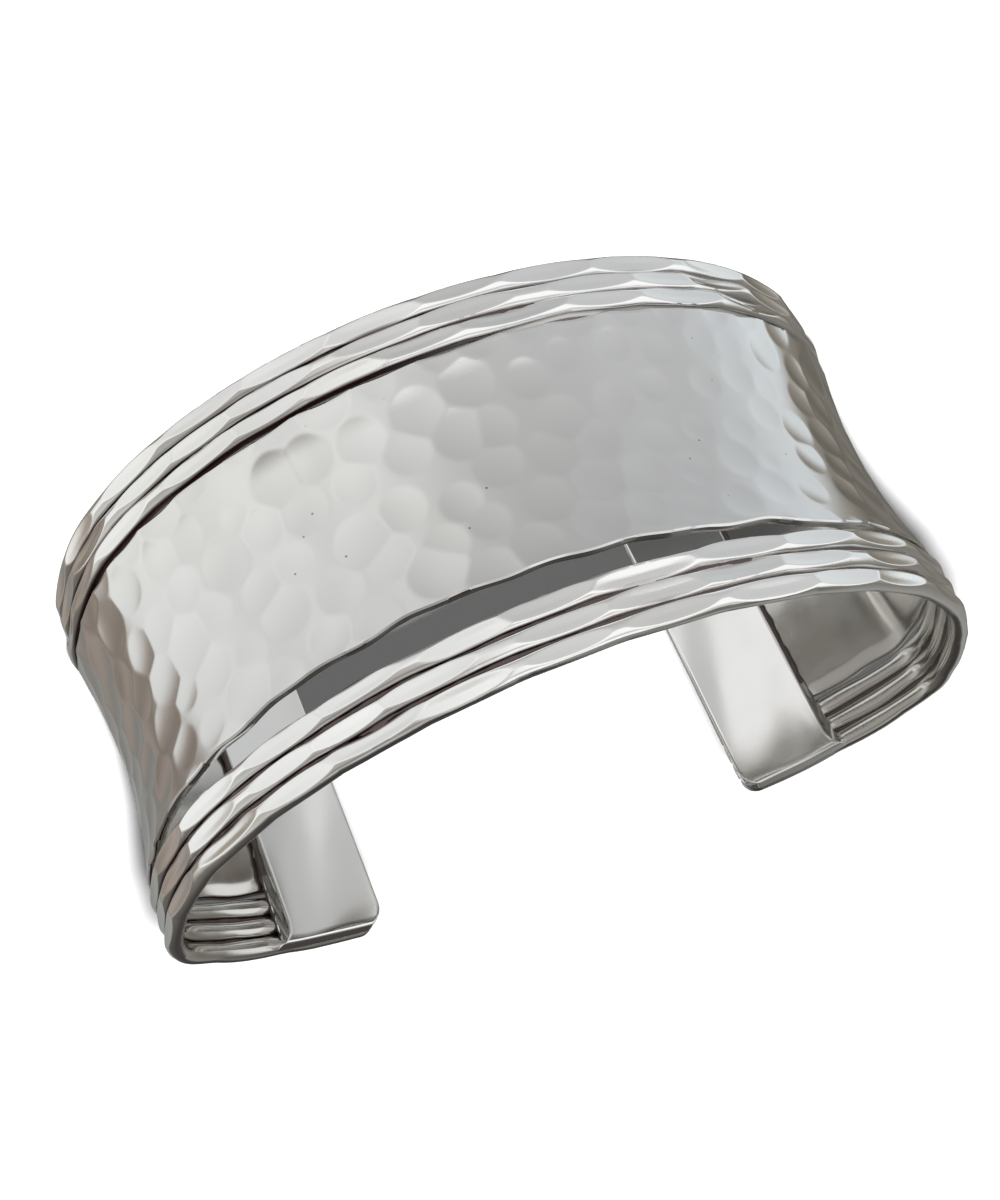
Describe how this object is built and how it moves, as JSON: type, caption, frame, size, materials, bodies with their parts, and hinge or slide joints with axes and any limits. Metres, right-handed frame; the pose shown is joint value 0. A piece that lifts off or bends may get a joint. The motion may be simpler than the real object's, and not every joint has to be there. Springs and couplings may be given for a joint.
{
  "type": "hammered cuff bracelet",
  "caption": "Wide open cuff with a hammered, waisted centre strip, round hammered wires along both rims, open slots between them and flat end plates.",
  "frame": {"origin": "middle of the cuff's box in plan, at the height of the lower rim", "axes": "+X across the width, from the narrow end of the upper slot to its wide one; +Y from the front to the gap for the wrist; +Z along the wrist, from the rim it lies on to the rim with the wide slot"},
  "size_m": [0.065, 0.0416, 0.029],
  "materials": {
    "silver": "polished sterling silver, hammered"
  },
  "bodies": {
    "root": {"cuff": "silver"}
  },
  "joints": []
}
